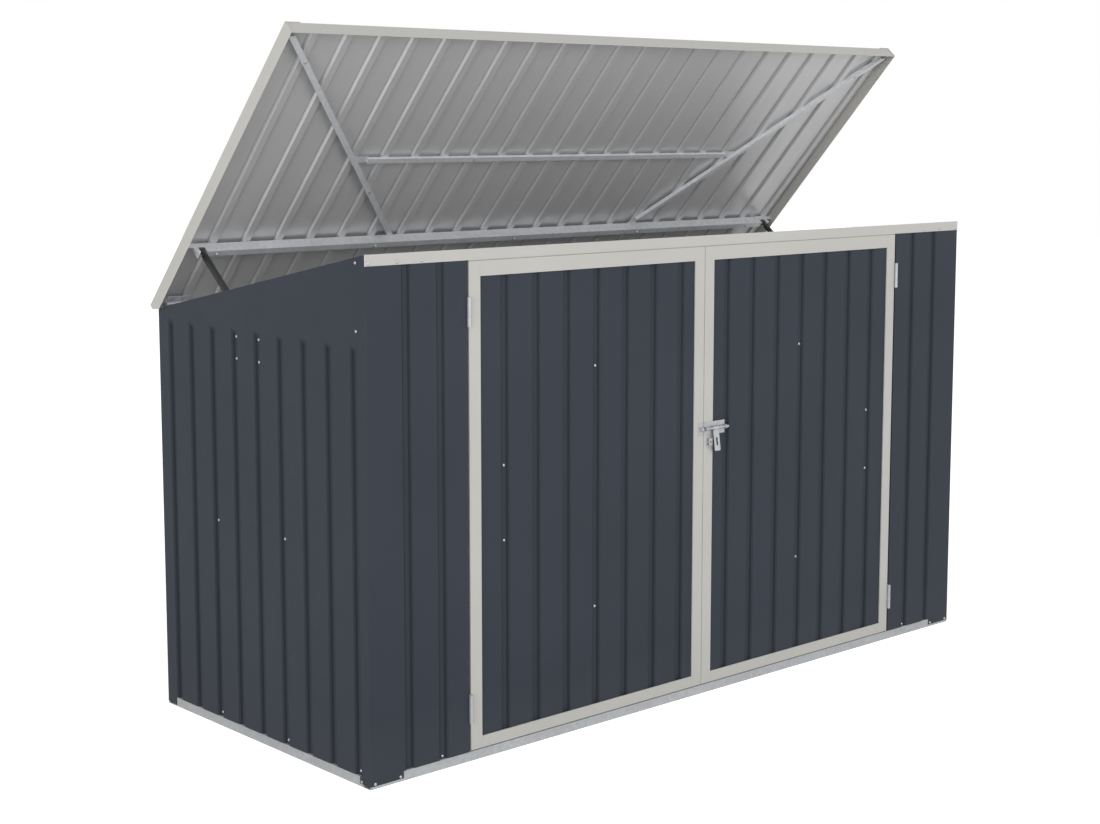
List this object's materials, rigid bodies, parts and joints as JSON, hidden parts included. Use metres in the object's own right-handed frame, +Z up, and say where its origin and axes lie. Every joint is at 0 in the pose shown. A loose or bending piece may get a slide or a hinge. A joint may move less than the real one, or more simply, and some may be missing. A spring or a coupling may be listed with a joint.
{
  "type": "wheelie bin store",
  "caption": "Low sheet-steel bin store with ribbed walls, a pair of front doors with a slide bolt latch, and a sloping hinged lid held open by gas struts.",
  "frame": {"origin": "on the ground, at the middle of the anchor hole pattern, which is the middle of the footprint of the walls", "axes": "+X along the front to the right, +Y from the front to the rear, +Z up"},
  "size_m": [2.3698, 0.9957, 1.869],
  "materials": {
    "anthracite_sheet": "satin anthracite coil coating",
    "light_grey_frame": "satin light grey coating",
    "galvanised": "hot-dip galvanised, fine spangle",
    "plated_steel": "bright zinc plated",
    "strut_black": "black lacquer"
  },
  "bodies": {
    "store": {"base_rail_front": "galvanised", "base_rail_rear": "galvanised", "base_rail_left": "galvanised", "base_rail_right": "galvanised", "front_corner_panel_left": "anthracite_sheet", "front_corner_panel_right": "anthracite_sheet", "rear_corner_panels": "anthracite_sheet", "side_wall_left": "anthracite_sheet", "side_wall_right": "anthracite_sheet", "rear_wall_left": "anthracite_sheet", "rear_wall_right": "anthracite_sheet", "lintel": "light_grey_frame", "front_corner_posts": "galvanised", "rear_corner_posts": "galvanised", "rear_middle_post": "galvanised", "jamb_posts": "galvanised", "mid_rails": "galvanised", "rear_top_rail": "galvanised", "side_top_rails": "galvanised", "door_hinge_frame_leaves": "galvanised", "door_hinge_pins": "plated_steel", "lid_hinge_pins": "plated_steel", "lid_hinge_wall_leaves": "galvanised", "strut_wall_brackets": "galvanised", "wall_screws": "plated_steel"},
    "left_door": {"left_door_sheet": "anthracite_sheet", "left_door_hinge_stile": "light_grey_frame", "left_door_latch_stile": "light_grey_frame", "left_door_rails": "light_grey_frame", "left_door_braces": "galvanised", "left_door_hinge_leaves": "galvanised", "left_door_screws": "plated_steel", "latch_keeper": "galvanised"},
    "right_door": {"right_door_sheet": "anthracite_sheet", "right_door_hinge_stile": "light_grey_frame", "right_door_latch_stile": "light_grey_frame", "right_door_rails": "light_grey_frame", "right_door_braces": "galvanised", "right_door_hinge_leaves": "galvanised", "right_door_screws": "plated_steel", "latch_plate": "galvanised", "latch_staple": "galvanised"},
    "bolt": {"latch_bolt": "plated_steel"},
    "handle": {"latch_handle": "galvanised"},
    "lid": {"lid_sheets_left": "galvanised", "lid_sheets_right": "galvanised", "lid_side_trim_left": "light_grey_frame", "lid_side_trim_right": "light_grey_frame", "lid_front_trim": "light_grey_frame", "lid_rear_trim": "light_grey_frame", "lid_beam": "galvanised", "lid_straps": "galvanised", "lid_crossbar": "galvanised", "lid_strut_brackets": "galvanised", "lid_hinge_lid_leaves": "galvanised", "lid_screws": "plated_steel"},
    "left_barrel": {"left_strut_barrel": "strut_black"},
    "left_rod": {"left_strut_rod": "plated_steel"},
    "right_barrel": {"right_strut_barrel": "strut_black"},
    "right_rod": {"right_strut_rod": "plated_steel"}
  },
  "joints": [
    {"name": "lid_hinge", "type": "hinge", "parent": "store", "child": "lid", "pos_m": [0, 0.473, 1.1282], "axis": [1, 0, 0], "range_deg": [0, 36.05], "stiffness_Nm_per_rad": 60, "springref_deg": -100.27},
    {"name": "left_door_hinge", "type": "hinge", "parent": "store", "child": "left_door", "pos_m": [-0.857, -0.48, 0.65], "axis": [0, 0, -1], "range_deg": [0, 165]},
    {"name": "right_door_hinge", "type": "hinge", "parent": "store", "child": "right_door", "pos_m": [0.857, -0.48, 0.65], "axis": [0, 0, 1], "range_deg": [0, 165]},
    {"name": "bolt_slide", "type": "slide", "parent": "right_door", "child": "bolt", "axis": [1, 0, 0], "range_m": [-0.021, 0]},
    {"name": "handle_turn", "type": "hinge", "parent": "bolt", "child": "handle", "pos_m": [0.042, -0.4831, 0.768], "axis": [-1, 0, 0], "range_deg": [0, 100]},
    {"name": "left_strut_swing", "type": "hinge", "parent": "lid", "child": "left_barrel", "pos_m": [-1.133, 0.312, 1.28005], "axis": [1, 0, 0], "range_deg": [-49.2, 0]},
    {"name": "left_strut_stroke", "type": "slide", "parent": "left_barrel", "child": "left_rod", "axis": [0, 0.7584, 0.6518], "range_m": [0, 0.1188]},
    {"name": "right_strut_swing", "type": "hinge", "parent": "lid", "child": "right_barrel", "pos_m": [1.133, 0.312, 1.28005], "axis": [1, 0, 0], "range_deg": [-49.2, 0]},
    {"name": "right_strut_stroke", "type": "slide", "parent": "right_barrel", "child": "right_rod", "axis": [0, 0.7584, 0.6518], "range_m": [0, 0.1188]}
  ],
  "couplings": [
    {"joint": "left_strut_swing", "follows": "lid_hinge", "ratio": -1.3627},
    {"joint": "left_strut_stroke", "follows": "lid_hinge", "m_per_rad": 0.18866},
    {"joint": "right_strut_swing", "follows": "lid_hinge", "ratio": -1.3627},
    {"joint": "right_strut_stroke", "follows": "lid_hinge", "m_per_rad": 0.18866}
  ]
}
